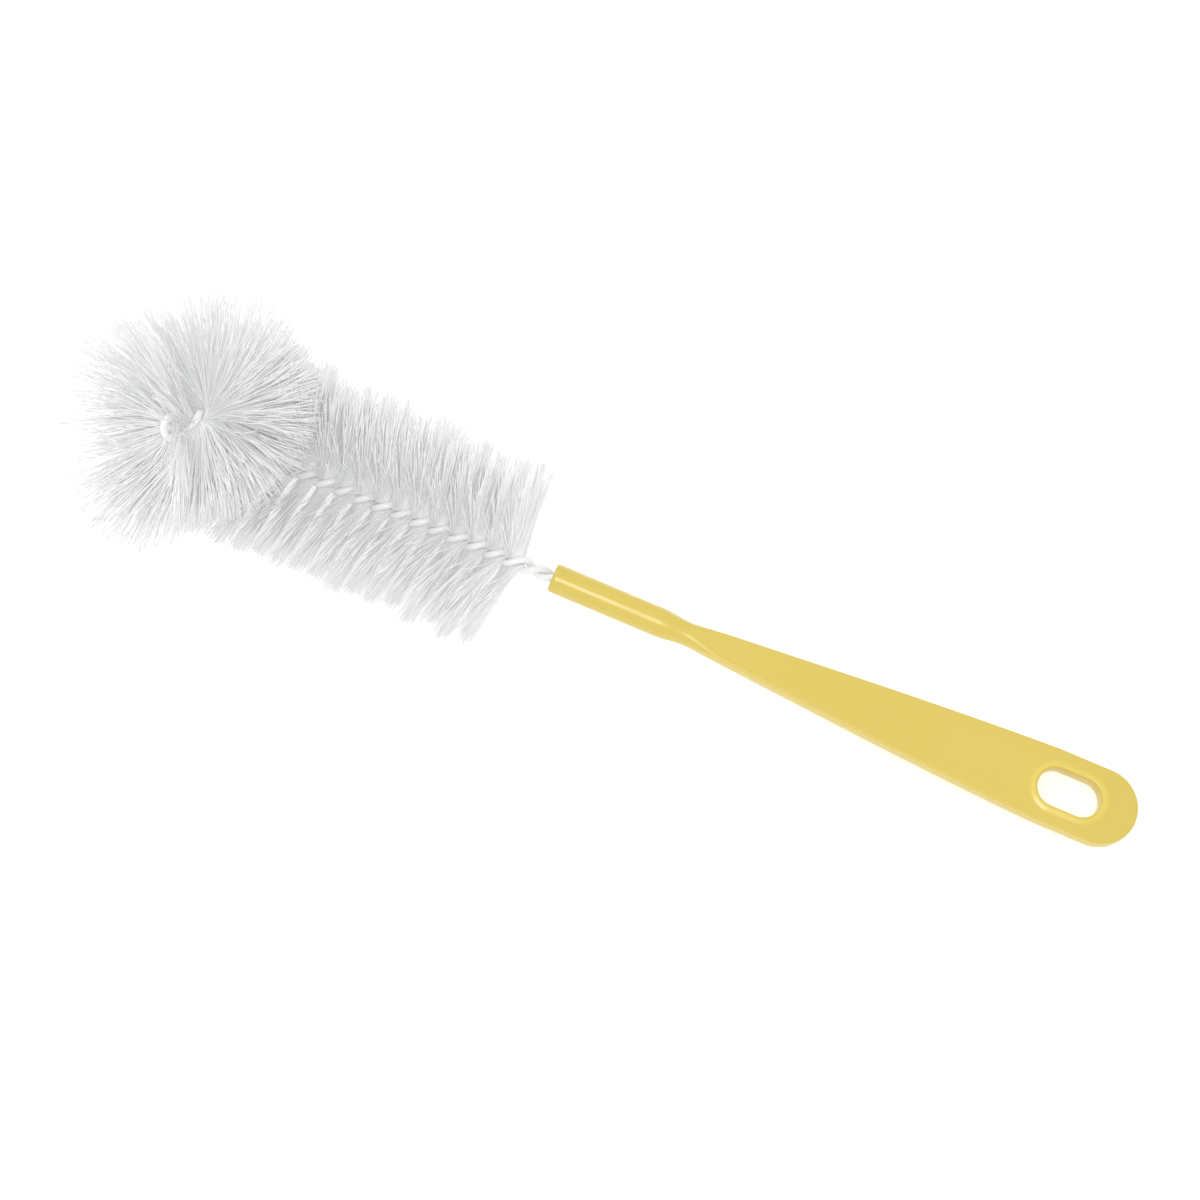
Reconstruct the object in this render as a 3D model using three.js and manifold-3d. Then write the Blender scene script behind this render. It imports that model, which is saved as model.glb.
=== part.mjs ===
// A bottle brush: nylon filaments gripped in a twisted, plastic-coated wire whose tip is bent
// up, and a flat moulded handle with a hanging slot. Millimetres, +Z up.
//
// Each sub-part is shaped on the straight brush: x runs along the wire from the foot of the bend
// (x = 0) to the handle, z is square to the flat of the handle. The last group then lays the
// brush down as it rests on a table, on its bristles and the end of its handle.

import * as THREE from 'three';
import { mergeVertices } from 'three/addons/utils/BufferGeometryUtils.js';
import Module from 'manifold-3d';

// Wire
const STRAND_RADIUS = 0.9;
const STRAND_SIDES = 7;
const WIRE_STEPS = 300;
const TWIST_PITCH = 12;            // length of one full left-hand turn
const GRIP_GAP = 1.0;              // between the strands where they grip filaments
const BARE_GAP = 0.3;              // between the strands elsewhere
const LOOP_RADIUS = 3.2;           // centre line of the fold at the tip
const LOOP_FLARE = 2.6;            // length over which the strands part to meet the fold
const GRIP_EASE = 5;               // length over which the gap closes behind the bristles

// Bristles
const HALF_TURN = TWIST_PITCH / 2;
const MAIN_BUNDLES = 14;
const HEAD_BUNDLES = 8;
const MAIN_REACH = 28.5;
const HEAD_REACH = 33;
const HEAD_EASE = 14;              // length over which the reach grows round the bend
const SWEEP = THREE.MathUtils.degToRad(12);
const TIP_SWEEP = THREE.MathUtils.degToRad(28);
const TIP_EASE = 8;                // length over which the sweep grows at the tip
const FAN_ANGLE_AT_BEND = THREE.MathUtils.degToRad(108);
const FAN_THICKNESS = 1.0;
const WEB_THICKNESS = 0.4;         // where the fan passes between the strands
const WEB_REACH = 2.7;
const BUNDLE_GAP = 0.4;
const FAN_SPACING_LEFT = 0.5;      // share of the bend radius that inner bristles may reach
const MEETING_GAP = 1.0;           // kept in front of the main section's first bristles
const MEETING_ROOM = 3;            // kept round them
const FAN_COLUMNS = 8;
const FAN_ROWS = 8;
const FAN_CROWDING = 1.7;

// Handle
const MOUTH_X = 93;
const HANDLE_END_X = 280.5;
const BARREL_RADIUS = 4.4;
const BARREL_END_X = 127;
const NECK_X = 137.5;
const NECK_RADIUS = 3.4;
const BLADE_FULL_X = 252;
const BLADE_HALF_WIDTH = 11.7;
const BLADE_HALF_THICKNESS = 2.75;
const BLADE_SQUARENESS = 5;
const BLADE_LIFT = 1.015;          // over 1, it cuts the crown off to leave a flat face
const MOUTH_ROUNDING = 1.0;
const HANDLE_SIDES = 28;
const SLOT_X = 258.9;
const SLOT_LENGTH = 19.8;
const SLOT_WIDTH = 11.6;
const SOCKET_DEPTH = 36;
const SOCKET_CLEARANCE = 0.35;
const SOCKET_BACK_GAP = 0.4;

// How the brush lies
const REST_TILT = THREE.MathUtils.degToRad(7.08);
const REST_PLACE = new THREE.Vector3(-117.13, 3.08, 37.06);

const BRISTLES_END_X = MAIN_BUNDLES * HALF_TURN;
const WIRE_END_X = MOUTH_X + SOCKET_DEPTH - SOCKET_BACK_GAP;
const bend = new THREE.CubicBezierCurve3(
  new THREE.Vector3(0, 0, 0),
  new THREE.Vector3(-21.3, 0, 0),
  new THREE.Vector3(-6.3, 6.4, 27.1),
  new THREE.Vector3(-21, -11.1, 33.9),
);
bend.arcLengthDivisions = 400;
const BEND_LENGTH = bend.getLength();

const yellow = { color: 0xe3ca64, roughness: 0.35, metalness: 0 };
const coatedWire = { color: 0xf6f6f4, roughness: 0.3, metalness: 0 };
const nylon = { color: 0xe6e7e8, roughness: 0.45, metalness: 0 };

const { lerp, clamp, smoothstep } = THREE.MathUtils;
const wasm = await Module();
wasm.setup();

// Position and axes of the wire's centre line, at a distance from the foot of the bend: positive
// towards the handle, negative round the bend. `along` always points back to the handle.
function wireFrame(distance) {
  const straight = new THREE.Vector3(1, 0, 0);
  if (distance >= 0) {
    return {
      point: new THREE.Vector3(distance, 0, 0),
      along: straight,
      side: new THREE.Vector3(0, 1, 0),
      up: new THREE.Vector3(0, 0, 1),
    };
  }
  const share = Math.min(-distance / BEND_LENGTH, 1);
  const along = bend.getTangentAt(share).negate();
  const past = Math.max(-distance - BEND_LENGTH, 0);
  const turn = new THREE.Quaternion().setFromUnitVectors(straight, along);
  return {
    point: bend.getPointAt(share).addScaledVector(along, -past),
    along,
    side: new THREE.Vector3(0, 1, 0).applyQuaternion(turn),
    up: new THREE.Vector3(0, 0, 1).applyQuaternion(turn),
  };
}

// Direction of the filaments at a distance along the wire. It turns left-handed.
function fanAngle(distance) {
  return FAN_ANGLE_AT_BEND - (2 * Math.PI * distance) / TWIST_PITCH;
}

function spoke(frame, angle) {
  return frame.side.clone().multiplyScalar(Math.cos(angle))
    .addScaledVector(frame.up, Math.sin(angle));
}

// Centre line of the folded wire: up one strand, round the fold, and back down the other.
class FoldedWire extends THREE.Curve {
  constructor() {
    super();
    this.twisted = WIRE_END_X + BEND_LENGTH;
    this.fold = Math.PI * LOOP_RADIUS + 2 * LOOP_FLARE;
    this.arcLengthDivisions = 4000;
  }

  strandPoint(distance, half) {
    const frame = wireFrame(distance);
    const eased = smoothstep(distance, BRISTLES_END_X, BRISTLES_END_X + GRIP_EASE);
    const gap = lerp(GRIP_GAP, BARE_GAP, eased);
    const angle = fanAngle(distance) + half * Math.PI / 2;
    return frame.point.addScaledVector(spoke(frame, angle), STRAND_RADIUS + gap / 2);
  }

  foldPoint(run) {
    const frame = wireFrame(-BEND_LENGTH);
    const across = spoke(frame, fanAngle(-BEND_LENGTH) + Math.PI / 2);
    const grip = STRAND_RADIUS + GRIP_GAP / 2;
    const arc = this.fold - 2 * LOOP_FLARE;
    const flared = Math.min(run, this.fold - run);
    if (flared < LOOP_FLARE) {
      const half = run < this.fold / 2 ? 1 : -1;
      const offset = lerp(grip, LOOP_RADIUS, smoothstep(flared, 0, LOOP_FLARE));
      return frame.point.addScaledVector(across, half * offset).addScaledVector(frame.along, -flared);
    }
    const turned = ((run - LOOP_FLARE) / arc) * Math.PI;
    return frame.point
      .addScaledVector(across, LOOP_RADIUS * Math.cos(turned))
      .addScaledVector(frame.along, -LOOP_FLARE - LOOP_RADIUS * Math.sin(turned));
  }

  getPoint(t) {
    const whole = 2 * this.twisted + this.fold;
    const run = t * whole;
    if (run < this.twisted) {
      return this.strandPoint(WIRE_END_X - run, 1);
    }
    if (run < this.twisted + this.fold) {
      return this.foldPoint(run - this.twisted);
    }
    return this.strandPoint(run - this.twisted - this.fold - BEND_LENGTH, -1);
  }
}

function twistedWire() {
  const section = new THREE.Shape();
  for (let k = 0; k < STRAND_SIDES; k++) {
    const angle = (2 * Math.PI * k) / STRAND_SIDES;
    const x = STRAND_RADIUS * Math.cos(angle);
    const y = STRAND_RADIUS * Math.sin(angle);
    if (k === 0) {
      section.moveTo(x, y);
    } else {
      section.lineTo(x, y);
    }
  }
  return new THREE.ExtrudeGeometry(section, {
    steps: WIRE_STEPS,
    extrudePath: new FoldedWire(),
    bevelEnabled: false,
  });
}

// Whether a point lies in the space of the main section's bristles, which lean over its end.
function inMainBristles(point) {
  const radius = Math.hypot(point.y, point.z);
  const behindTip = point.x + radius * Math.tan(SWEEP) > -MEETING_GAP;
  return behindTip && radius < MAIN_REACH + MEETING_ROOM;
}

// How much the filaments lean towards the tip, which is most at the tip itself.
function sweepAt(distance) {
  const last = clamp((TIP_EASE - distance - BEND_LENGTH) / TIP_EASE, 0, 1);
  return lerp(SWEEP, TIP_SWEEP, last);
}

// Far end of a filament that leaves the wire in a direction and leans by an angle.
function filamentPoint(frame, direction, far, sweep) {
  const swept = Math.max(far - WEB_REACH, 0) * Math.tan(sweep);
  return frame.point.clone().addScaledVector(direction, far).addScaledVector(frame.along, -swept);
}

// How far the filaments reach in one direction. On the inside of the bend they stop short of the
// point where they would cross each other or meet the main section's.
function reachTowards(distance, direction) {
  if (distance >= 0) {
    return MAIN_REACH;
  }
  const frame = wireFrame(distance);
  const curling = wireFrame(distance + 0.5).along.sub(wireFrame(distance - 0.5).along);
  const full = lerp(MAIN_REACH, HEAD_REACH, clamp(-distance / HEAD_EASE, 0, 1));
  const crossing = FAN_SPACING_LEFT / Math.max(curling.dot(direction), 1e-6);
  const limit = Math.min(full, crossing);
  let far = WEB_REACH + 1;
  const sweep = sweepAt(distance);
  while (far < limit && !inMainBristles(filamentPoint(frame, direction, far + 0.5, sweep))) {
    far += 0.5;
  }
  return Math.min(far, limit);
}

// A point of the helical fan: `out` runs from one bristle tip (-1) through the wire to the
// opposite tip (1).
function fanPoint(distance, out) {
  const frame = wireFrame(distance);
  const direction = spoke(frame, fanAngle(distance)).multiplyScalar(Math.sign(out));
  const far = Math.abs(out) ** FAN_CROWDING * reachTowards(distance, direction);
  return filamentPoint(frame, direction, far, sweepAt(distance));
}

// One bundle: the filaments gripped in one half-turn of the twist. It is a block bent into a
// helical fan that passes between the strands as a thin web.
function bristleBundle(start) {
  const fan = new THREE.BoxGeometry(2, 1, 1, FAN_COLUMNS, FAN_ROWS, 1);
  const places = fan.attributes.position;
  const small = 1e-3;
  for (let i = 0; i < places.count; i++) {
    const out = places.getX(i);
    const share = places.getY(i) + 0.5;
    const distance = start + lerp(BUNDLE_GAP / 2, HALF_TURN - BUNDLE_GAP / 2, share);
    const centre = fanPoint(distance, out);
    const frame = wireFrame(distance);
    const acrossFan = spoke(frame, fanAngle(distance));
    const alongFan = fanPoint(distance + small, out).sub(fanPoint(distance - small, out));
    const normal = acrossFan.cross(alongFan).normalize();
    const inWeb = Math.abs(out) < 1.5 * (2 / FAN_COLUMNS);
    const thickness = inWeb ? WEB_THICKNESS : FAN_THICKNESS;
    centre.addScaledVector(normal, places.getZ(i) * thickness);
    places.setXYZ(i, centre.x, centre.y, centre.z);
  }
  return fan;
}

// Half-width, half-thickness, squareness and flatness of the handle's section at x.
function handleSection(x) {
  const mouth = MOUTH_ROUNDING - clamp(x - MOUTH_X, 0, MOUTH_ROUNDING);
  const rounding = MOUTH_ROUNDING - Math.sqrt(MOUTH_ROUNDING ** 2 - mouth ** 2);
  const neck = smoothstep(x, BARREL_END_X, NECK_X);
  const blade = smoothstep(x, NECK_X - 2, NECK_X + 12);
  const round = lerp(BARREL_RADIUS - rounding, NECK_RADIUS, neck);
  const widening = clamp((x - NECK_X) / (BLADE_FULL_X - NECK_X), 0, 1);
  const eased = Math.sin((widening ** 1.08 * Math.PI) / 2) * 0.35 + widening * 0.65;
  let width = x < NECK_X ? round : lerp(NECK_RADIUS, BLADE_HALF_WIDTH, eased);
  const intoEnd = Math.max(x - (HANDLE_END_X - BLADE_HALF_WIDTH), 0);
  width *= Math.sqrt(Math.max(1 - (intoEnd / BLADE_HALF_WIDTH) ** 2, 0));
  const edge = clamp((HANDLE_END_X - x) / 1.6, 0, 1);
  const endRounding = Math.sqrt(1 - (1 - edge) ** 2);
  return {
    width,
    thickness: lerp(round, BLADE_HALF_THICKNESS, blade) * lerp(0.35, 1, endRounding),
    power: lerp(2, BLADE_SQUARENESS, blade),
    lift: lerp(1, BLADE_LIFT, blade),
  };
}

function handleStations() {
  const stations = [0, 0.3, 1, 12, 24].map((from) => MOUTH_X + from);
  for (let x = BARREL_END_X; x < NECK_X + 12; x += 3.5) {
    stations.push(x);
  }
  for (let x = 162; x < 268; x += 15) {
    stations.push(x);
  }
  for (let angle = 0; angle <= 90; angle += 11.25) {
    const reach = BLADE_HALF_WIDTH * Math.sin(THREE.MathUtils.degToRad(angle));
    stations.push(HANDLE_END_X - BLADE_HALF_WIDTH + reach);
  }
  return stations;
}

// The outer form is a rod whose rings are set to the section at each station.
function handleBody() {
  const stations = handleStations();
  const rod = new THREE.CylinderGeometry(1, 1, 1, HANDLE_SIDES, stations.length - 1);
  const places = rod.attributes.position;
  for (let i = 0; i < places.count; i++) {
    const row = Math.round((places.getY(i) + 0.5) * (stations.length - 1));
    const x = stations[row];
    const { width, thickness, power, lift } = handleSection(x);
    const c = places.getZ(i);
    const s = places.getX(i);
    const y = width * Math.sign(c) * Math.abs(c) ** (2 / power);
    const z = thickness * Math.sign(s) * Math.min(lift * Math.abs(s) ** (2 / power), 1);
    places.setXYZ(i, x, y, z);
  }
  return rod;
}

function slotCutter() {
  const radius = SLOT_WIDTH / 2;
  const straight = SLOT_LENGTH / 2 - radius;
  const outline = new THREE.Shape();
  outline.absarc(straight, 0, radius, -Math.PI / 2, Math.PI / 2);
  outline.absarc(-straight, 0, radius, Math.PI / 2, (3 * Math.PI) / 2);
  const depth = 4 * BLADE_HALF_THICKNESS;
  return new THREE.ExtrudeGeometry(outline, { depth, bevelEnabled: false, curveSegments: 10 })
    .translate(SLOT_X, 0, -depth / 2);
}

function socketCutter() {
  const radius = 2 * STRAND_RADIUS + BARE_GAP / 2 + SOCKET_CLEARANCE;
  const length = SOCKET_DEPTH + 1;
  return new THREE.CylinderGeometry(radius, radius, length, 16)
    .rotateZ(Math.PI / 2)
    .translate(MOUTH_X + SOCKET_DEPTH - length / 2, 0, 0);
}

function toSolid(geometry) {
  const bare = geometry.clone();
  bare.deleteAttribute('normal');
  bare.deleteAttribute('uv');
  const merged = mergeVertices(bare, 1e-5);
  return new wasm.Manifold(new wasm.Mesh({
    numProp: 3,
    vertProperties: new Float32Array(merged.attributes.position.array),
    triVerts: new Uint32Array(merged.index.array),
  }));
}

function toGeometry(solid) {
  const mesh = solid.getMesh();
  const geometry = new THREE.BufferGeometry();
  geometry.setAttribute('position', new THREE.BufferAttribute(mesh.vertProperties, 3));
  geometry.setIndex(new THREE.BufferAttribute(mesh.triVerts, 1));
  return geometry;
}

function handle() {
  return toGeometry(
    toSolid(handleBody()).subtract(toSolid(slotCutter())).subtract(toSolid(socketCutter())),
  );
}

const brush = new THREE.Group();

function add(name, geometry, finish) {
  const mesh = new THREE.Mesh(geometry, new THREE.MeshStandardMaterial(finish));
  mesh.name = name;
  brush.add(mesh);
}

add('handle', handle(), yellow);
add('twisted_wire', twistedWire(), coatedWire);
for (let k = 0; k < MAIN_BUNDLES; k++) {
  add(`bristle_bundle_${k + 1}`, bristleBundle(k * HALF_TURN), nylon);
}
for (let k = 0; k < HEAD_BUNDLES; k++) {
  add(`tip_bundle_${k + 1}`, bristleBundle(-(k + 1) * HALF_TURN), nylon);
}

brush.rotation.y = REST_TILT;
brush.position.copy(REST_PLACE);
const group = new THREE.Group();
group.add(brush);

export default group;
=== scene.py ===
import math

import bpy
import numpy as np
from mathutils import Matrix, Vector


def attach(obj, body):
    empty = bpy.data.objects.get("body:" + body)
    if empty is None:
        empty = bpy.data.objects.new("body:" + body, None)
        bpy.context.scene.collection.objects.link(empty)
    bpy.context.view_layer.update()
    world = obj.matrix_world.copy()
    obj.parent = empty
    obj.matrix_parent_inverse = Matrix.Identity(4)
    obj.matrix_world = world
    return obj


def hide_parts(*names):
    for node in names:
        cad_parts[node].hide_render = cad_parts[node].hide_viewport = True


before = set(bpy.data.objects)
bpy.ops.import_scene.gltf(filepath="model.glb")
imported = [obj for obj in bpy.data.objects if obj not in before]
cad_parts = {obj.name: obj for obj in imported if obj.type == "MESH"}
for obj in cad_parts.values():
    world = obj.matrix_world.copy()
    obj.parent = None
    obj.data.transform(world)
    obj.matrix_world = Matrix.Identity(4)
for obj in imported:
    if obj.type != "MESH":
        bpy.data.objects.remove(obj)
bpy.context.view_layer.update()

# Wire
STRAND_RADIUS = 1.1
TWIST_PITCH = 12.0          # length of one full left-hand turn
GRIP_GAP = 0.7              # between the strands where they grip filaments
BARE_GAP = 0.1              # between the strands elsewhere
GRIP_EASE = 5.0             # length over which the gap closes behind the bristles
LOOP_RADIUS = 3.5           # centre line of the fold at the tip
LOOP_FLARE = 2.6            # length over which the strands part to meet the fold
FLARE_STEPS = 8
LOOP_STEPS = 26
WIRE_END_X = 128.6
WIRE_STEP = 0.45            # between rings of the tube
WIRE_SIDES = 20
BARE_SHADE = 0.5             # painted shade on the wire past the bristles, like that between the strands, growing from this far before their end to this far past it
BARE_EASE = 2.0             # growing from this far before their end to this far past it
BEND_CONTROL = np.array([[0, 0, 0], [-21.3, 0, 0], [-6.3, 6.4, 27.1], [-21, -11.1, 33.9]])

# Bristles: where they are
HALF_TURN = TWIST_PITCH / 2
MAIN_BUNDLES = 14
HEAD_BUNDLES = 8
MAIN_LENGTH = MAIN_BUNDLES * HALF_TURN
FAN_ANGLE_AT_BEND = math.radians(108)
FILAMENTS_PER_MM = 30       # at the tip,
FEWEST_PER_MM = 21          # and at the handle end
CROWDING = 0.4              # how much denser each tuft is in its middle,
BEND_CROWDING = 0.1         # and round the bend
FILAMENT_RADIUS = 0.15
END_TAPER = 0.7             # share of the radius that is left at a filament's ends
FILAMENT_ROWS = 13
ROW_POWER = 1.4             # brings the rows closer together near the wire
TUBE_SIDES = 4
WEB_REACH = 2.7             # filaments stay straight this far, between the strands

# Bristles: how long they are
MAIN_REACH = 27.9
HEAD_REACH = 35.5
HEAD_EASE = 34.0            # length over which the reach grows round the bend
LENGTH_VARIATION = 0.035    # from filament to filament, as a share of the length,
SHORTEST = -0.12            # between this
LONGEST = 0.07              # and this
TUFT_VARIATION = 0.03       # from tuft to tuft
FAR_SIDE_EXTRA = 0.07       # the +Y side is longer by this share at the handle end,
FAR_SIDE_GROWTH = 0.06      # and by this much more at the bend
INNER_SHORT = 0.2           # those inside the bend are shorter by this share

# Bristles: how they lean towards the tip
SWEEP = math.radians(12)
TIP_SWEEP = math.radians(38)
TIP_EASE = 26.0             # length over which the sweep grows at the tip
UPPER_GAIN = 1.4            # those that rise by about 45 degrees or more are upper ones,
UPPER_SWEEP = 0.7           # which get this share of the tip sweep,
UPPER_LENGTH = 6.0          # over this length
FAR_SIDE_SWEEP = math.radians(5)        # less on the +Y side at the handle end
TILT = math.radians(3.5)                # random, along the wire,
BEND_TILT = math.radians(8)             # the same round the bend
TIP_TILT = math.radians(2.5)            # and at the tip,
TILT_LIMIT = 1.6                        # and up to so many times as much

# Bristles: how they spread, with angles in radians
MAIN_SPREAD = 0.16          # by which both halves of a filament stray to the same side,
BEND_SPREAD = 0.24          # the same round the bend,
HALF_SPREAD = 0.12          # and by which either half strays by itself
STRAY_EASE = 6.0            # distance from the wire over which they stray
CURL = 0.06
GATHER = 0.30               # how far each tuft closes up towards its middle,
TIP_GATHER = 0.35           # and how far it does at the tip,
TIP_GATHER_LENGTH = 10.0    # over this length
GATHER_FROM = 1.5           # it closes up from this distance from the wire
GATHER_TO = 12.0            # to this one

# Bristles: in the fold
FOLD_FILL = 3.6             # the last bristles sit this far into the fold,
FOLD_ENTRY = 0.3            # and over this first share of it they come to be
FOLD_SPREAD = 0.5           # fanned out by this much more
FOLD_WIDTH = 1.3            # and this far to either side of its middle
FOLD_EASE = 0.6             # they are swept less by this share

# Handle
MOUTH_X = 93.0
HANDLE_END_X = 280.5
BARREL_RADIUS = 4.4
BARREL_END_X = 127.0
NECK_X = 137.5
NECK_RADIUS = 3.4
FLAT_START_X = NECK_X - 4   # the section turns from round to flat from here
FLAT_FULL_X = NECK_X + 12   # to here
BLADE_FULL_X = 252.0
BLADE_HALF_WIDTH = 11.7
BLADE_HALF_THICKNESS = 2.75
BLADE_EDGE = 0.6            # radius along the blade's edges
BLADE_DRAFT = 0.1           # lean of the blade's sides
SWELL = 0.35                # share of the widening that follows a sine,
SWELL_POWER = 1.08          # of the way along to this power
SWELL_EASE = 0.03           # how softly the widening sets in
MOUTH_ROUNDING = 0.9
SOCKET_RADIUS = 2.3
SOCKET_DEPTH = 36.0
SOCKET_CORNER = 0.25        # bevel at the bottom of the socket
SOCKET_ROUNDING = 0.3
SLOT_X = 258.9
SLOT_LENGTH = 19.8
SLOT_WIDTH = 11.6
LIP_RADIUS = 0.9
RIM_WIDTH = 2.7             # of the low rim round the slot,
END_RIM_WIDTH = 4.4         # and of its part towards the end of the handle
RIM_HEIGHT = 0.4            # on the upper flat only
SEAM_HEIGHT = 0.05          # of the mould's parting line
SEAM_MARK = 0.12            # half the width of the line's mark,
SEAM_CLEARANCE = 0.1        # and how far it keeps from the slot's wall
LIP_MARK = 0.9              # half the width of the painted highlight round the slot, and how far outside the slot's wall it is strongest
LIP_MARK_AT = 1.3           # and how far outside the slot's wall it is strongest
END_CENTRE_X = HANDLE_END_X - BLADE_HALF_WIDTH
SHEET_MARGIN = 11.0         # this far before the slot, the flats become sheets with the slot in
SHEET_X = SLOT_X - SLOT_LENGTH / 2 - SHEET_MARGIN

# Rings and columns of the handle's mesh
BARREL_RINGS = 24
NECK_RINGS = 60
BLADE_RINGS = 44
SHEET_RINGS = 32
END_STEPS = 49
RIM_STEPS = 8
LIP_STEPS = 8
SIDE_COLUMNS = 3            # of a quarter section: up the side,
EDGE_COLUMNS = 12           # round the edge,
FLAT_COLUMNS = 9            # and in to the middle
FLAT_FROM = SIDE_COLUMNS + EDGE_COLUMNS
QUARTER = FLAT_FROM + FLAT_COLUMNS
AROUND = 4 * QUARTER

# How the brush lies: tilted about Y, then moved
REST_TILT = math.radians(7.08)
REST_PLACE = np.array([-117.13, 3.08, 37.06])
BRISTLE_FLOOR_EASE = 0.5    # how softly bristles bend where they meet the floor,
HANDLE_FLOOR_EASE = 0.05    # and the handle's end
MM = 0.001

# Light and camera, in metres
# painted glow of the bristles, near the wire and at the tips, standing in for light passed between
# filaments
CORE_GLOW = (0.115, 0.115, 0.116)
TIP_GLOW = (0.035, 0.035, 0.035)
FLOOR_GLOW = 0.3
FLOOR_HALF_WIDTH = 3.0
SKY_STRENGTH = 0.75
CAMERA_AZIMUTH = math.radians(21.82)
CAMERA_ELEVATION = math.radians(72)
CAMERA_DISTANCE = 1.0
CAMERA_LENS = 100.73
CAMERA_AIM = Vector((-0.00978, 0.00339, 0.020))


def lerp(low, high, share):
    return low + (high - low) * share


def smoothstep(x, low, high):
    """3 s^2 - 2 s^3, with s the share of the way from low to high."""
    share = np.clip((x - low) / (high - low), 0, 1)
    return share * share * (3 - 2 * share)


def lay_down(points):
    """Turns points by the rest tilt about Y, moves them to the brush's place, gives metres."""
    x, y, z = points[..., 0], points[..., 1], points[..., 2]
    c, s = math.cos(REST_TILT), math.sin(REST_TILT)
    return (np.stack([c * x + s * z, y, c * z - s * x], axis=-1) + REST_PLACE) * MM


def on_floor(points, ease):
    """Points that would pass through the floor bend up on to it: z' = (z + sqrt(z^2 + k^2)) / 2,
    with k the ease, in metres."""
    height = points[..., 2:]
    lifted = (height + np.sqrt(height**2 + ease**2)) / 2
    return np.concatenate([points[..., :2], lifted], axis=-1)


def unit(vectors):
    return vectors / np.linalg.norm(vectors, axis=-1, keepdims=True)


def quads_between(index):
    """Quads between neighbouring rows and columns of a grid of point numbers."""
    corners = [index[:-1, :-1], index[:-1, 1:], index[1:, 1:], index[1:, :-1]]
    return np.stack(corners, axis=-1).reshape(-1, 4)


def wrapped(index):
    """A grid of point numbers with its first column again at the end, so that it closes."""
    return np.hstack([index, index[:, :1]])


def numbered(first, rows, columns):
    """A grid of point numbers, from the first one on."""
    return first + np.arange(rows * columns).reshape(rows, columns)


def tube_quads(rows, columns):
    """The faces of a tube, open at both ends."""
    return quads_between(wrapped(numbered(0, rows, columns)))


def make_piece(name, points, quads, triangles, marks):
    """A smooth-shaded mesh object at the origin, from metres, with one float per point per mark."""
    mesh = bpy.data.meshes.new(name)
    corners = np.concatenate([quads.ravel(), triangles.ravel()]).astype(np.int32)
    sizes = np.repeat([4, 3], [len(quads), len(triangles)])
    starts = np.concatenate([[0], np.cumsum(sizes)[:-1]]).astype(np.int32)
    mesh.vertices.add(len(points))
    mesh.vertices.foreach_set("co", points.astype(np.float32).ravel())
    mesh.loops.add(len(corners))
    mesh.loops.foreach_set("vertex_index", corners)
    mesh.polygons.add(len(sizes))
    mesh.polygons.foreach_set("loop_start", starts)
    mesh.polygons.foreach_set("use_smooth", np.ones(len(sizes), dtype=bool))
    mesh.update(calc_edges=True)
    for mark, values in marks.items():
        layer = mesh.attributes.new(mark, "FLOAT", "POINT")
        layer.data.foreach_set("value", values.astype(np.float32).ravel())
    piece = bpy.data.objects.new(name, mesh)
    bpy.context.scene.collection.objects.link(piece)
    return piece


# ---- Wire -------------------------------------------------------------------------------------


def bend_curve(t):
    """Cubic Bezier through the control points, and its tangent."""
    t = np.asarray(t, dtype=float)[..., None]
    a, b, c, d = BEND_CONTROL
    u = 1 - t
    place = u**3 * a + 3 * u * u * t * b + 3 * u * t * t * c + t**3 * d
    slope = 3 * (u * u * (b - a) + 2 * u * t * (c - b) + t * t * (d - c))
    return place, unit(slope)


BEND_SHARES = np.linspace(0, 1, 4001)
BEND_STEPS = np.linalg.norm(np.diff(bend_curve(BEND_SHARES)[0], axis=0), axis=1)
BEND_RUN = np.concatenate([[0], np.cumsum(BEND_STEPS)])
BEND_LENGTH = BEND_RUN[-1]


def wire_frame(distance):
    """Centre line and axes of the wire. `along` points back to the handle; `side` and `up` are Y
    and Z turned by the shortest rotation that takes X to `along`, which is
    v + k x v + k x (k x v) / (1 + c), with k = X x along and c = X . along."""
    distance = np.asarray(distance, dtype=float)
    run = np.maximum(-distance, 0)
    place, tangent = bend_curve(np.interp(run, BEND_RUN, BEND_SHARES))
    along = -tangent
    past = np.maximum(run - BEND_LENGTH, 0)[..., None]
    place = place - along * past + np.maximum(distance, 0)[..., None] * [1.0, 0, 0]
    turn = np.cross([1.0, 0, 0], along)
    lean = 1 + along[..., :1]

    def carried(axis):
        once = np.cross(turn, axis)
        return axis + once + np.cross(turn, once) / lean

    return place, along, carried(np.array([0.0, 1, 0])), carried(np.array([0.0, 0, 1]))


def fan_angle(distance):
    """Angle of the filaments that cross the wire here; one left-hand turn in every pitch."""
    return FAN_ANGLE_AT_BEND - 2 * np.pi * np.maximum(distance, -BEND_LENGTH) / TWIST_PITCH


def spoke(side, up, angle):
    return np.cos(angle)[..., None] * side + np.sin(angle)[..., None] * up


def strand(distance, half):
    """One strand's centre line: a helix about the wire's, and the direction away from it."""
    place, _, side, up = wire_frame(distance)
    eased = smoothstep(distance, MAIN_LENGTH, MAIN_LENGTH + GRIP_EASE)
    gap = lerp(GRIP_GAP, BARE_GAP, eased)
    away = spoke(side, up, fan_angle(distance) + half * np.pi / 2)
    return place + away * (STRAND_RADIUS + gap / 2)[..., None], away


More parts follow.
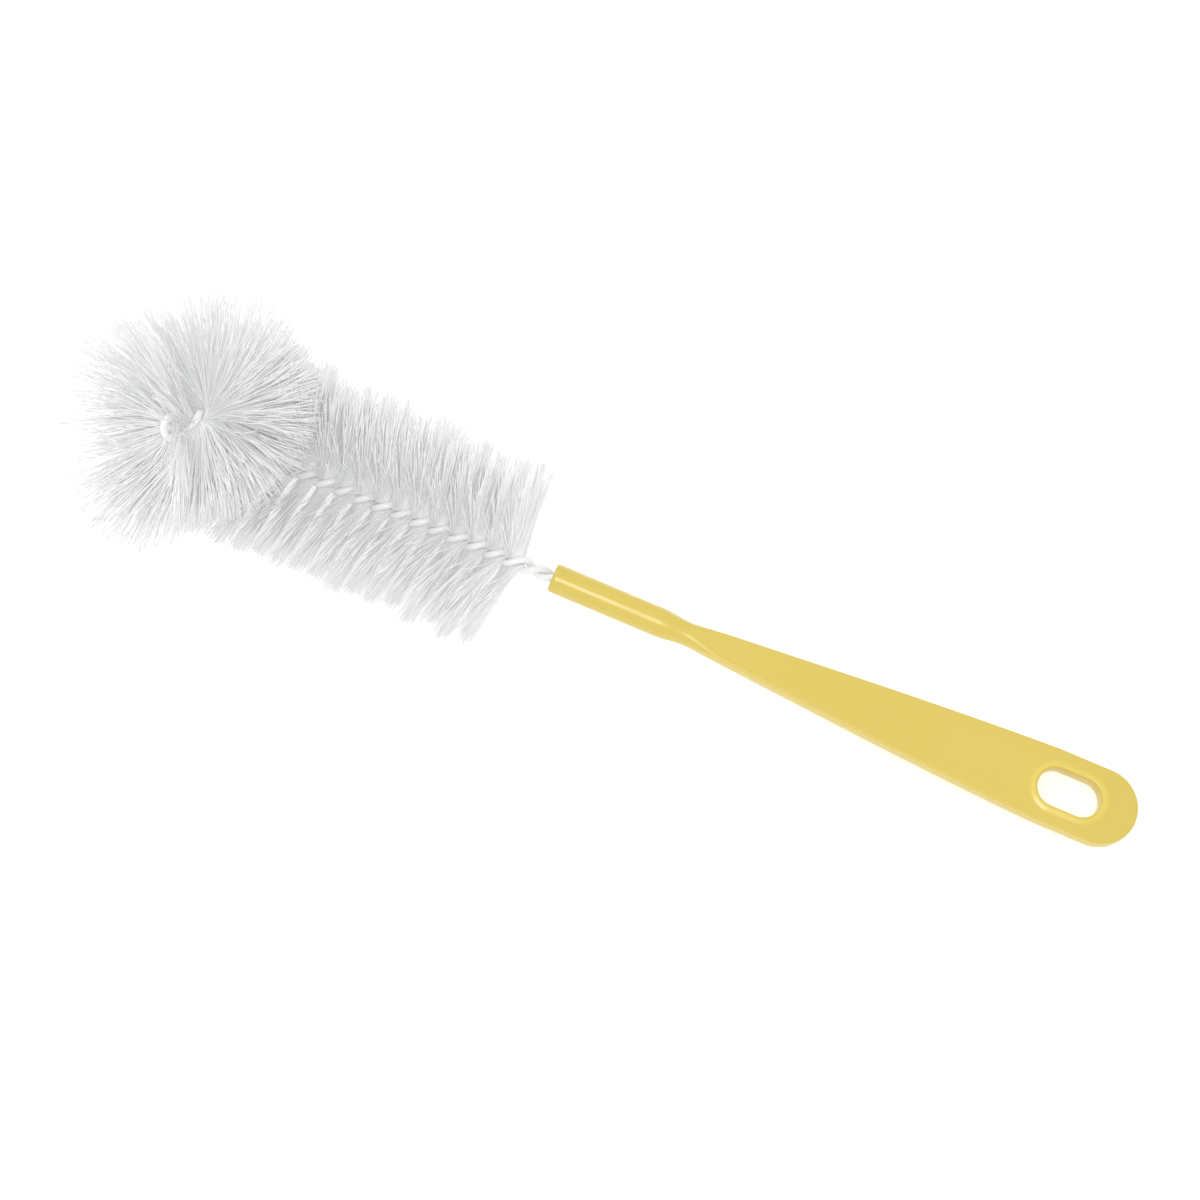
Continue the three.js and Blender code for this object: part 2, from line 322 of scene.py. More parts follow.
def wire_fold():
    """The fold at the tip: the strands part along smoothsteps, then meet in a half circle."""
    place, along, side, up = (axis[0] for axis in wire_frame(np.array([-BEND_LENGTH])))
    across = spoke(side, up, np.array(fan_angle(-BEND_LENGTH) + np.pi / 2))
    grip = STRAND_RADIUS + GRIP_GAP / 2
    flare = np.linspace(0, LOOP_FLARE, FLARE_STEPS + 1)[1:]
    offset = lerp(grip, LOOP_RADIUS, smoothstep(flare, 0, LOOP_FLARE))[:, None]
    first = place + across * offset - along * flare[:, None]
    second = (place - across * offset - along * flare[:, None])[::-1]
    turned = np.linspace(0, np.pi, LOOP_STEPS + 1)[1:-1, None]
    outward = across * np.cos(turned) - along * np.sin(turned)
    arc = place - along * LOOP_FLARE + outward * LOOP_RADIUS
    centre = np.concatenate([first, arc, second])
    beside = np.tile(across, (FLARE_STEPS, 1))
    return centre, np.concatenate([beside, outward, -beside])


def twisted_wire():
    """A round tube along the folded wire: up one strand, round the fold, down the other.
    Ring point = centre + R (cos a . away + sin a . tangent x away)."""
    run = np.arange(WIRE_END_X, -BEND_LENGTH, -WIRE_STEP)
    run = np.append(run, -BEND_LENGTH)
    up_line, up_away = strand(run, 1)
    down_line, down_away = strand(run[::-1], -1)
    fold_line, fold_away = wire_fold()
    centre = np.concatenate([up_line, fold_line, down_line])
    away = np.concatenate([up_away, fold_away, down_away])
    tangent = unit(np.gradient(centre, axis=0))
    away = unit(away - tangent * np.sum(away * tangent, axis=1, keepdims=True))
    aside = np.cross(tangent, away)
    angle = np.linspace(0, 2 * np.pi, WIRE_SIDES, endpoint=False)[None, :, None]
    ring = np.cos(angle) * away[:, None] + np.sin(angle) * aside[:, None]
    rings = centre[:, None] + STRAND_RADIUS * ring
    rows = len(centre)
    points = np.concatenate([rings.reshape(-1, 3), centre[:1], centre[-1:]])
    near = np.arange(WIRE_SIDES)
    after = (near + 1) % WIRE_SIDES
    last = (rows - 1) * WIRE_SIDES
    hub = rows * WIRE_SIDES
    caps = np.concatenate([
        np.stack([after, near, np.full_like(near, hub)], axis=1),
        np.stack([last + near, last + after, np.full_like(near, hub + 1)], axis=1),
    ])
    in_fold = np.zeros(rows)
    in_fold[len(run):-len(run)] = 1
    # painted shade: greyer on the sides of the strands that face each other, outside the fold, and
    # on the bare wire past the bristles
    strand_shade = np.clip(-np.cos(angle[..., 0]), 0, 1) * (1 - in_fold[:, None])
    distance = np.concatenate([run, np.full(len(fold_line), -BEND_LENGTH), run[::-1]])
    bare = smoothstep(distance, MAIN_LENGTH - BARE_EASE, MAIN_LENGTH + BARE_EASE)
    strand_shade = np.maximum(strand_shade, BARE_SHADE * bare[:, None])
    strand_shade = np.concatenate([strand_shade.ravel(), [0, 0]])
    quads = tube_quads(rows, WIRE_SIDES)
    return make_piece("coated_wire", lay_down(points), quads, caps, {"strand_shade": strand_shade})


# ---- Bristles ---------------------------------------------------------------------------------


def is_bent(start):
    """Whether a bundle sits on the bend. The last one doesn't, as it reaches into the fold."""
    return -BEND_LENGTH < start < 0


def filament_roots(start, span, random):
    """Where a span's filaments cross the wire: one drawn from each equal share s of the span, then
    moved towards the span's middle, s + c sin(2 pi s) / (2 pi)."""
    thinning = np.clip(start / MAIN_LENGTH, 0, 1)
    count = int(lerp(FILAMENTS_PER_MM, FEWEST_PER_MM, thinning) * span)
    share = (np.arange(count) + random.uniform(size=count)) / count
    crowding = BEND_CROWDING if is_bent(start) else CROWDING
    share = share + crowding * np.sin(2 * np.pi * share) / (2 * np.pi)
    return start + share * span


def filament_differences(start, count, random):
    """What sets filaments apart: how far both halves stray together, then for either half its own
    stray, curl, tilt along the wire and length, then the tone and the place across the fold."""
    bent = is_bent(start)
    common = random.normal(0, BEND_SPREAD if bent else MAIN_SPREAD, (count, 1))
    own = random.normal(0, HALF_SPREAD, (count, 2))
    curl = random.normal(0, CURL, (count, 2))
    usual_tilt = TILT if start >= 0 else BEND_TILT if bent else TIP_TILT
    tilt = usual_tilt * np.clip(random.normal(0, 1, (count, 2)), -TILT_LIMIT, TILT_LIMIT)
    length = 1 + np.clip(random.normal(0, LENGTH_VARIATION, (count, 2)), SHORTEST, LONGEST)
    length = length + random.normal(0, TUFT_VARIATION, (1, 2))
    tone = random.uniform(size=count)
    sideways = random.uniform(-FOLD_WIDTH, FOLD_WIDTH, (count, 1))
    return common, own, curl, tilt, length, tone, sideways


def tuft_gather(distance, far, round_bend, into_fold):
    """How far a tuft has closed up at a distance from the wire: a smoothstep of that distance,
    less round the bend and in the fold."""
    at_tip = np.clip(1 - (distance + BEND_LENGTH) / TIP_GATHER_LENGTH, 0, 1)[:, None]
    gather = np.maximum(GATHER * (1 - round_bend), TIP_GATHER * at_tip)
    return gather * smoothstep(far, GATHER_FROM, GATHER_TO) * (1 - into_fold)


def usual_sweep(direction, distance, in_fold):
    """Lean towards the tip: it grows from the main sweep to the tip sweep over the tip ease. The
    upper filaments keep the main sweep for longer, and those in the fold lean less."""
    last = np.clip((TIP_EASE - distance - BEND_LENGTH) / TIP_EASE, 0, 1)[:, None]
    upper = np.clip(UPPER_GAIN * direction[..., 2], 0, 1)
    upper_last = np.clip(1 - (distance + BEND_LENGTH) / UPPER_LENGTH, 0, 1)[:, None]
    extra = lerp(last * (1 - FOLD_EASE * in_fold), UPPER_SWEEP * upper_last, upper)
    return lerp(SWEEP, TIP_SWEEP, extra)


def filament_lines(start, span, random):
    """Centre lines of the filaments gripped over one span of wire, tip to tip through the wire,
    and each one's tone. A point = root + far . direction - lean . along, with far = reach |s|^p
    for s from -1 to 1, and lean = (far - web) tan(sweep) towards the tip. The direction is the
    fan's, turned by the filament's stray and curl and by the tuft's gathering towards its middle.
    Filaments are longer on the +Y side and shorter inside the bend. In the fold they start side
    by side across it and fan out more."""
    distance = filament_roots(start, span, random)
    differences = filament_differences(start, len(distance), random)
    common, own, curl, tilt, length, tone, sideways = differences
    in_fold = np.clip((-distance - BEND_LENGTH) / FOLD_FILL, 0, 1)[:, None]
    into_fold = smoothstep(in_fold, 0, FOLD_ENTRY)
    round_bend = np.clip(-distance / HEAD_EASE, 0, 1)[:, None]
    nearness = np.clip(distance / MAIN_LENGTH, 0, 1)[:, None]
    middle = start + span - HALF_TURN / 2
    fan = fan_angle(distance)
    root, along, side, up = wire_frame(distance)
    root = root + spoke(side, up, fan + np.pi / 2) * sideways * into_fold

    spot = np.linspace(-1, 1, FILAMENT_ROWS)[None, :]
    half = (spot > 0).astype(int)[0]
    out = np.abs(spot) ** ROW_POWER
    far = lerp(MAIN_REACH, HEAD_REACH, round_bend) * length[:, half] * out
    gather = tuft_gather(distance, far, round_bend, into_fold)
    own = own * (1 + FOLD_SPREAD * into_fold / HALF_SPREAD)
    stray = (common + own[:, half]) * smoothstep(far, 0, STRAY_EASE) * np.where(half, 1, -1)
    angle = fan[:, None] + stray + curl[:, half] * out**2
    angle = angle + gather * (fan_angle(middle) - fan[:, None])
    direction = np.sign(spot)[..., None] * spoke(side[:, None], up[:, None], angle)

    far_side = np.clip(direction[..., 1], 0, 1) * (1 - round_bend)
    far = far * (1 + far_side * (FAR_SIDE_EXTRA + FAR_SIDE_GROWTH * (1 - nearness)))
    inner = np.clip(direction[..., 0], 0, 1) * np.clip(-distance / HALF_TURN, 0, 1)[:, None]
    far = far * (1 - INNER_SHORT * inner)
    sweep = usual_sweep(direction, distance, in_fold) + tilt[:, half]
    sweep = sweep - FAR_SIDE_SWEEP * far_side * nearness
    lean = np.maximum(far - WEB_REACH, 0) * np.tan(sweep)
    lean = lean - gather * (middle - distance)[:, None]
    line = root[:, None] + direction * far[..., None] - along[:, None] * lean[..., None]
    return line, along, tone


def bristle_bundle(name, start, span, seed):
    """Square tubes, shaded round, along every filament of one bundle, closed at both ends."""
    line, along, tone = filament_lines(start, span, np.random.default_rng(seed))
    count = len(line)
    tangent = unit(np.gradient(line, axis=1))
    aside = unit(np.cross(along[:, None], tangent))
    above = np.cross(tangent, aside)
    angle = (np.arange(TUBE_SIDES) + 0.5) * 2 * np.pi / TUBE_SIDES
    angle = angle[None, None, :, None]
    ring = np.cos(angle) * aside[:, :, None] + np.sin(angle) * above[:, :, None]
    radius = np.full(FILAMENT_ROWS, FILAMENT_RADIUS)
    radius[[0, -1]] *= END_TAPER
    points = lay_down(line[:, :, None] + ring * radius[None, :, None, None])
    points = on_floor(points, BRISTLE_FLOOR_EASE * MM)
    per_filament = FILAMENT_ROWS * TUBE_SIDES
    first_end = np.arange(TUBE_SIDES)[::-1]
    last_end = np.arange(per_filament - TUBE_SIDES, per_filament)
    tube = np.vstack([tube_quads(FILAMENT_ROWS, TUBE_SIDES), first_end, last_end])
    quads = (np.arange(count)[:, None, None] * per_filament + tube[None]).reshape(-1, 4)
    out = np.abs(np.linspace(-1, 1, FILAMENT_ROWS))
    marks = {
        "tone": np.repeat(tone, per_filament),
        "outward": np.tile(np.repeat(out, TUBE_SIDES), count),
    }
    return make_piece(name, points.reshape(-1, 3), quads, np.zeros((0, 3), dtype=int), marks)


# ---- Handle -----------------------------------------------------------------------------------


def handle_form(x):
    """Half-width, half-thickness, edge radius and how far it is a blade at x. On the barrel all
    three sizes are the same, a circle; the blade is flat with small rounded edges. It widens as
    a share of a sine added to a straight line."""
    round_radius = lerp(BARREL_RADIUS, NECK_RADIUS, smoothstep(x, BARREL_END_X, NECK_X))
    along = (x - NECK_X) / (BLADE_FULL_X - NECK_X)
    soft = np.clip((along + np.sqrt(along**2 + SWELL_EASE**2)) / 2, 0, 1)
    widening = lerp(soft, np.sin(soft**SWELL_POWER * np.pi / 2), SWELL)
    width = round_radius + (BLADE_HALF_WIDTH - NECK_RADIUS) * widening
    width = np.minimum(width, BLADE_HALF_WIDTH)
    blade = smoothstep(x, FLAT_START_X, FLAT_FULL_X)
    thickness = lerp(round_radius, BLADE_HALF_THICKNESS, blade)
    edge = lerp(np.minimum(width, thickness), BLADE_EDGE, blade)
    return width, thickness, edge, blade


def section_quarter(x):
    """A quarter of the section at each x, as half-width and height: up the side, round the edge,
    r (1 - cos a) and r sin a, and in to the middle. On the barrel the points are evenly spaced;
    on the blade each stretch has its own columns."""
    width, thickness, edge, blade = (value[:, None] for value in handle_form(x))
    side, curve, flat = thickness - edge, edge * np.pi / 2, width - edge
    columns = np.arange(QUARTER + 1)[None, :]
    even = columns / QUARTER * (side + curve + flat)
    own = np.clip(columns / SIDE_COLUMNS, 0, 1) * side
    own = own + np.clip((columns - SIDE_COLUMNS) / EDGE_COLUMNS, 0, 1) * curve
    own = own + np.clip((columns - FLAT_FROM) / FLAT_COLUMNS, 0, 1) * flat
    run = lerp(even, own, blade)
    angle = np.clip((run - side) / curve, 0, 1) * np.pi / 2
    up_side = np.clip(run / np.maximum(side, 1e-6), 0, 1)
    inset = edge * (1 - np.cos(angle)) + np.maximum(run - side - curve, 0)
    inset = inset + BLADE_DRAFT * blade * up_side * np.clip(1 - inset / width, 0, 1)
    height = np.minimum(run, side) + edge * np.sin(angle)
    bead = SEAM_HEIGHT * (columns == 0)
    return width - inset + bead, height


def section_rings(x):
    """Whole sections, from +y over the top to -y and back underneath."""
    half_width, height = section_quarter(x)
    y = np.concatenate([half_width, -half_width[:, -2:0:-1]], axis=1)
    z = np.concatenate([height, height[:, -2:0:-1]], axis=1)
    y = np.concatenate([y, -half_width[:, :-1], half_width[:, -1:0:-1]], axis=1)
    z = np.concatenate([z, -height[:, :-1], -height[:, -1:0:-1]], axis=1)
    return np.stack([np.broadcast_to(x[:, None], y.shape), y, z], axis=-1)


def mouth_rings():
    """The blind socket, from its far end out to the mouth, and round the rim of the barrel. Both
    edges of the rim are quarter circles, r (1 - sin a) along and r (1 - cos a) out."""
    turn = np.linspace(0, 2 * np.pi, AROUND, endpoint=False)
    circle = np.stack([np.zeros_like(turn), np.cos(turn), np.sin(turn)], axis=1)
    bottom = MOUTH_X + SOCKET_DEPTH
    profile = [(bottom, 0.6), (bottom, 1.5), (bottom, SOCKET_RADIUS - SOCKET_CORNER),
               (bottom - SOCKET_CORNER, SOCKET_RADIUS), (bottom - 12, SOCKET_RADIUS),
               (MOUTH_X + 1.0, SOCKET_RADIUS), (MOUTH_X + 0.35, SOCKET_RADIUS)]
    profile += [(MOUTH_X + SOCKET_ROUNDING * (1 - math.sin(a)),
                 SOCKET_RADIUS + SOCKET_ROUNDING * (1 - math.cos(a)))
                for a in np.radians(np.linspace(0, 90, 4))]
    flat = BARREL_RADIUS - MOUTH_ROUNDING
    profile += [(MOUTH_X, lerp(SOCKET_RADIUS + SOCKET_ROUNDING, flat, 0.5))]
    profile += [(MOUTH_X + MOUTH_ROUNDING * (1 - math.cos(a)), flat + MOUTH_ROUNDING * math.sin(a))
                for a in np.radians(np.linspace(0, 90, 8))]
    return np.array([np.array([x, 0, 0]) + circle * radius for x, radius in profile])


def round_end():
    """The side and edges of the blade's end: its quarter section, top and bottom, turned about the
    upright axis through the centre of the end, (X + w cos t, w sin t, h)."""
    quarter = section_quarter(np.array([END_CENTRE_X]))
    half_width, height = (row[0, :FLAT_FROM + 1] for row in quarter)
    reach = np.concatenate([half_width[:0:-1], half_width])
    height = np.concatenate([-height[:0:-1], height])
    turn = np.linspace(np.pi / 2, -np.pi / 2, END_STEPS + 1)[1:-1, None]
    x = END_CENTRE_X + reach * np.cos(turn)
    return np.stack([x, reach * np.sin(turn), np.broadcast_to(height, x.shape)], axis=-1)


def beyond_slot(points):
    """Nearest point of the slot's middle line, and the distance out from the slot's wall."""
    straight = (SLOT_LENGTH - SLOT_WIDTH) / 2
    centre = np.clip(points[:, :1], SLOT_X - straight, SLOT_X + straight) * [1.0, 0]
    return centre, np.linalg.norm(points[:, :2] - centre, axis=1) - SLOT_WIDTH / 2


def slot_rings(loop, rim_height):
    """Rings of the slot in line with a loop of points on the flat: a smoothstep up its low rim, a
    quarter circle round its lip, then its wall down to mid-thickness. Each point lies towards the
    nearest point of the slot's middle line."""
    centre, _ = beyond_slot(loop)
    away = unit(loop[:, :2] - centre)
    rim = lerp(RIM_WIDTH, END_RIM_WIDTH, np.clip(away[:, 0], 0, 1) ** 2)[None, :]
    climb = np.linspace(0, 1, RIM_STEPS + 1)[:, None]
    turn = np.radians(np.linspace(0, 90, LIP_STEPS + 1))[1:, None]
    wall = np.array([0.6, 0.3, 0])[:, None]
    top = BLADE_HALF_THICKNESS + rim_height
    all_round = np.zeros_like(rim)
    beyond = [lerp(rim, LIP_RADIUS, climb), LIP_RADIUS * (1 - np.sin(turn)) + all_round,
              0 * wall + all_round]
    height = [top - rim_height * (1 - smoothstep(climb, 0, 1)),
              top - LIP_RADIUS * (1 - np.cos(turn)), (top - LIP_RADIUS) * wall]
    beyond, height = np.concatenate(beyond), np.concatenate(height)
    flat = centre[None] + away[None] * (SLOT_WIDTH / 2 + beyond)[..., None]
    upright = np.broadcast_to(height[..., None], (*flat.shape[:2], 1))
    return np.concatenate([flat, upright], axis=-1)


def handle_rings():
    """Whole sections from the socket's far end to the centre of the round end, and the number of
    the one where the sheets with the slot begin."""
    stations = np.concatenate([
        np.linspace(MOUTH_X + MOUTH_ROUNDING + 0.6, BARREL_END_X - 2, BARREL_RINGS),
        np.linspace(BARREL_END_X - 1, NECK_X + 16, NECK_RINGS),
        np.linspace(NECK_X + 18, SHEET_X, BLADE_RINGS),
    ])
    beside_slot = np.linspace(SHEET_X, END_CENTRE_X, SHEET_RINGS + 1)[1:]
    rings = np.concatenate([mouth_rings(), section_rings(stations), section_rings(beside_slot)])
    return rings, len(rings) - SHEET_RINGS - 1


def section_faces(count, first_sheet):
    """Faces between the whole sections, without the flats from the first sheet on."""
    row, column = np.divmod(np.arange((count - 1) * AROUND), AROUND)
    over = (column >= FLAT_FROM) & (column < 2 * QUARTER - FLAT_FROM)
    under = (column >= 2 * QUARTER + FLAT_FROM) & (column < AROUND - FLAT_FROM)
    return tube_quads(count, AROUND)[(row < first_sheet) | ~(over | under)]


def sheet_edge(sign, ring_start, end_index):
    """Point numbers round one flat, the upper (1) or the lower (-1): across the blade where the
    sheet begins, along one side, round the end and back along the other side."""
    across = ring_start[0] + sign * np.arange(FLAT_FROM, 2 * QUARTER - FLAT_FROM + 1) % AROUND
    back_side = ring_start[1:] + (sign * (2 * QUARTER - FLAT_FROM)) % AROUND
    tip = end_index[-2:0:-1, -1 if sign > 0 else 0]
    front_side = ring_start[:0:-1] + (sign * FLAT_FROM) % AROUND
    return np.concatenate([across, back_side, tip, front_side])


def handle_marks(points):
    """Masks as bell curves, exp(-(d / w)^2): the parting line by height, but not in the socket or
    on the slot's wall, and a painted highlight round the lip by distance from that wall."""
    beyond = beyond_slot(points)[1]
    seam = np.exp(-((points[:, 2] / SEAM_MARK) ** 2))
    seam *= np.hypot(points[:, 1], points[:, 2]) > SOCKET_RADIUS + 2 * SOCKET_ROUNDING
    seam *= beyond > SEAM_CLEARANCE
    # painted highlight round the slot, strongest just outside its wall
    lip = np.exp(-(((beyond - LIP_MARK_AT) / LIP_MARK) ** 2))
    return {"seam": seam, "lip": lip}


def handle():
    """Sections from the socket to the blade's end, the turned end, and two sheets with the slot,
    which share the ring at mid-thickness."""
    rings, first_sheet = handle_rings()
    count = len(rings)
    hub = count * AROUND
    near = np.arange(AROUND)
    cap = np.stack([(near + 1) % AROUND, near, np.full(AROUND, hub)], axis=1)

    end = round_end()
    edge = np.arange(-FLAT_FROM, FLAT_FROM + 1)
    last = hub - AROUND
    end_index = np.vstack([last + edge % AROUND, numbered(hub + 1, *end.shape[:2]),
                           last + 2 * QUARTER - edge])
    points = [rings.reshape(-1, 3), [[MOUTH_X + SOCKET_DEPTH, 0, 0]], end.reshape(-1, 3)]
    quads = [section_faces(count, first_sheet), quads_between(end_index)]

    corners = np.concatenate(points)
    total = len(corners)
    ring_start = np.arange(first_sheet, count) * AROUND
    middle = None
    for sign, rim_height in ((1, RIM_HEIGHT), (-1, 0)):
        loop = sheet_edge(sign, ring_start, end_index)
        slot = slot_rings(corners[loop], rim_height)
        slot[..., 2] *= sign
        index = numbered(total, *slot.shape[:2])
        total += index.size
        middle = index[-1].copy() if middle is None else middle
        index[-1] = middle
        points.append(slot.reshape(-1, 3))
        quads.append(quads_between(wrapped(np.vstack([loop, index])))[:, ::sign])

    quads = np.concatenate(quads)
    points = np.concatenate(points)
    used, renumbered = np.unique(np.concatenate([quads.ravel(), cap.ravel()]), return_inverse=True)
    points = points[used]
    cap = renumbered[quads.size:].reshape(-1, 3)
    quads = renumbered[:quads.size].reshape(-1, 4)
    marks = handle_marks(points)
    points = on_floor(lay_down(points), HANDLE_FLOOR_EASE * MM)
    return make_piece("moulded_handle", points, quads, cap, marks)


# ---- Materials --------------------------------------------------------------------------------


def add_node(tree, kind, inputs=None, **settings):
    """A node with its settings; each input is a socket to link or a value to set."""
    made = tree.nodes.new(kind)
    for key, value in settings.items():
        setattr(made, key, value)
    for key, value in (inputs or {}).items():
        if isinstance(value, bpy.types.NodeSocket):
            tree.links.new(value, made.inputs[key])
        else:
            made.inputs[key].default_value = value
    return made


def new_group(name, inputs, outputs):
    tree = bpy.data.node_groups.new(name, "ShaderNodeTree")
    for direction, sockets in (("INPUT", inputs), ("OUTPUT", outputs)):
        for socket, kind in sockets.items():
            tree.interface.new_socket(socket, in_out=direction, socket_type=kind)
    return tree, tree.nodes.new("NodeGroupInput").outputs, tree.nodes.new("NodeGroupOutput")


def grain_group():
    """Skin grain: fine noise for height, a broad drift of tone, and sparse rubbed patches."""
    tree, given, result = new_group(
        "skin_grain",
        {"Vector": "NodeSocketVector", "Fine Scale": "NodeSocketFloat",
         "Drift Scale": "NodeSocketFloat"},
        {"Height": "NodeSocketFloat", "Drift": "NodeSocketFloat", "Rubbed": "NodeSocketFloat"})
    fine = add_node(tree, "ShaderNodeTexNoise",
                    {"Vector": given["Vector"], "Scale": given["Fine Scale"], "Detail": 3.0,
                     "Roughness": 0.6})
    drift = add_node(tree, "ShaderNodeTexNoise",
                     {"Vector": given["Vector"], "Scale": given["Drift Scale"], "Detail": 4.0})
    rub_scale = add_node(tree, "ShaderNodeMath", {0: given["Drift Scale"], 1: 3.1},
                         operation="MULTIPLY")
    rub = add_node(tree, "ShaderNodeTexNoise",
                   {"Vector": given["Vector"], "Scale": rub_scale.outputs[0], "Detail": 6.0,
                    "Distortion": 0.6})
    patches = add_node(tree, "ShaderNodeMapRange",
                       {"Value": rub.outputs["Fac"], "From Min": 0.5, "From Max": 0.72})
    tree.links.new(fine.outputs["Fac"], result.inputs["Height"])
    tree.links.new(drift.outputs["Fac"], result.inputs["Drift"])
    tree.links.new(patches.outputs["Result"], result.inputs["Rubbed"])
    return tree


def tint(tree, share, low, high):
    """Colour between two, by a mask. The first may be a socket."""
    low = low if isinstance(low, bpy.types.NodeSocket) else (*low, 1)
    mixed = add_node(tree, "ShaderNodeMix",
                     {"Factor": share, "A": low, "B": (*high, 1)}, data_type="RGBA")
    return mixed.outputs["Result"]


def spread(tree, share, low, high):
    """Number between two, by a mask."""
    ranged = add_node(tree, "ShaderNodeMapRange", {"Value": share, "To Min": low, "To Max": high})
    return ranged.outputs["Result"]


def new_material(name):
    """A material, its nodes, its shader, and the place on the piece that its patterns follow."""
    material = bpy.data.materials.new(name)
    material.use_nodes = True
    tree = material.node_tree
    shader = tree.nodes["Principled BSDF"]
    place = add_node(tree, "ShaderNodeTexCoord").outputs["Object"]
    return material, tree, shader, place


def grained(tree, grain, place, fine, drift):
    """The skin grain with a material's own scales."""
    used = add_node(tree, "ShaderNodeGroup", node_tree=grain)
    tree.links.new(place, used.inputs["Vector"])
    used.inputs["Fine Scale"].default_value = fine
    used.inputs["Drift Scale"].default_value = drift
    return used.outputs


def bumped(tree, shader, height, distance, strength=1.0):
    bump = add_node(tree, "ShaderNodeBump",
                    {"Height": height, "Distance": distance, "Strength": strength})
    tree.links.new(bump.outputs["Normal"], shader.inputs["Normal"])


def mark(tree, name):
    """A value kept on the piece's points."""
    return add_node(tree, "ShaderNodeAttribute", attribute_name=name).outputs["Fac"]


def handle_plastic(grain):
    """Glossy yellow polypropylene: faint flow marks, a fine skin, a parting line, rubbed gloss,
    and a painted highlight round the slot.
    """
    material, tree, shader, place = new_material("handle_plastic")
    stretched = add_node(tree, "ShaderNodeMapping", {"Vector": place, "Scale": (0.35, 1, 1)})
    skin = grained(tree, grain, stretched.outputs["Vector"], 1500.0, 42.0)
    colour = tint(tree, skin["Drift"], (0.640, 0.492, 0.094), (0.672, 0.522, 0.112))
    colour = tint(tree, mark(tree, "seam"), colour, (0.57, 0.43, 0.07))
    # painted highlight: the rim round the slot is coloured lighter where its lip would catch the
    # light
    painted_lip_sheen = spread(tree, mark(tree, "lip"), 0.0, 0.5)
    colour = tint(tree, painted_lip_sheen, colour, (0.80, 0.64, 0.12))
    tree.links.new(colour, shader.inputs["Base Color"])
    tree.links.new(spread(tree, skin["Rubbed"], 0.24, 0.34), shader.inputs["Roughness"])
    shader.inputs["IOR"].default_value = 1.49
    bumped(tree, shader, skin["Height"], 0.000012)
    return material


def coated_wire(grain):
    """Glossy white coating, a little uneven, greyer with painted shade between the strands."""
    material, tree, shader, place = new_material("coated_wire")
    skin = grained(tree, grain, place, 900.0, 160.0)
    clean = tint(tree, skin["Drift"], (0.87, 0.87, 0.87), (0.93, 0.93, 0.925))
    # painted shade between the strands and past the bristles
    strand_shade = spread(tree, mark(tree, "strand_shade"), 0.0, 0.4)
    colour = tint(tree, strand_shade, clean, (0.50, 0.51, 0.52))
    tree.links.new(colour, shader.inputs["Base Color"])
    tree.links.new(spread(tree, skin["Rubbed"], 0.18, 0.3), shader.inputs["Roughness"])
    bumped(tree, shader, skin["Height"], 0.00003)
    return material


def nylon_bristle(grain):
    """White nylon: each filament its own tone, frosted tips, fine drawing lines. A painted glow,
    strongest near the wire, stands in for light that crowded filaments pass on to each other."""
    material, tree, shader, place = new_material("nylon_bristle")
    skin = grained(tree, grain, place, 1800.0, 90.0)
    body = tint(tree, mark(tree, "tone"), (0.76, 0.768, 0.775), (0.90, 0.905, 0.91))
    frosted = spread(tree, mark(tree, "outward"), 0.0, 0.5)
    colour = tint(tree, frosted, body, (0.93, 0.93, 0.93))
    tree.links.new(colour, shader.inputs["Base Color"])
    # painted glow: the filaments give off light, more near the wire than at the tips
    depth = add_node(tree, "ShaderNodeMapRange", {"Value": mark(tree, "outward"),
                                                  "From Min": 0.15, "From Max": 0.8})
    glow = tint(tree, depth.outputs["Result"], CORE_GLOW, TIP_GLOW)
    tree.links.new(glow, shader.inputs["Emission Color"])
    shader.inputs["Emission Strength"].default_value = 1.0
    tree.links.new(spread(tree, skin["Drift"], 0.28, 0.46), shader.inputs["Roughness"])
    bumped(tree, shader, skin["Height"], 0.00001)
    return material


def pale_floor():
    """Matt, nearly white paper that gives off a little light, so that shadows stay pale."""
    material, tree, shader, place = new_material("pale_floor")
    noise = add_node(tree, "ShaderNodeTexNoise", {"Vector": place, "Scale": 30.0})
    colour = tint(tree, noise.outputs["Fac"], (0.90, 0.90, 0.90), (0.92, 0.92, 0.92))
    tree.links.new(colour, shader.inputs["Base Color"])
    shader.inputs["Roughness"].default_value = 0.9
    shader.inputs["Specular IOR Level"].default_value = 0.0
    shader.inputs["Emission Color"].default_value = (1, 1, 1, 1)
    shader.inputs["Emission Strength"].default_value = FLOOR_GLOW
    return material


# ---- Scene ------------------------------------------------------------------------------------


def studio_light(name, place, size, power):
    """A round softbox that looks at the middle of the floor."""
    lamp = bpy.data.lights.new(name, "AREA")
    lamp.shape = "DISK"
    lamp.size = size
    lamp.energy = power
    light = bpy.data.objects.new(name, lamp)
    light.location = place
    light.rotation_mode = "QUATERNION"
    light.rotation_quaternion = (-Vector(place)).to_track_quat("-Z", "Y")
    bpy.context.scene.collection.objects.link(light)


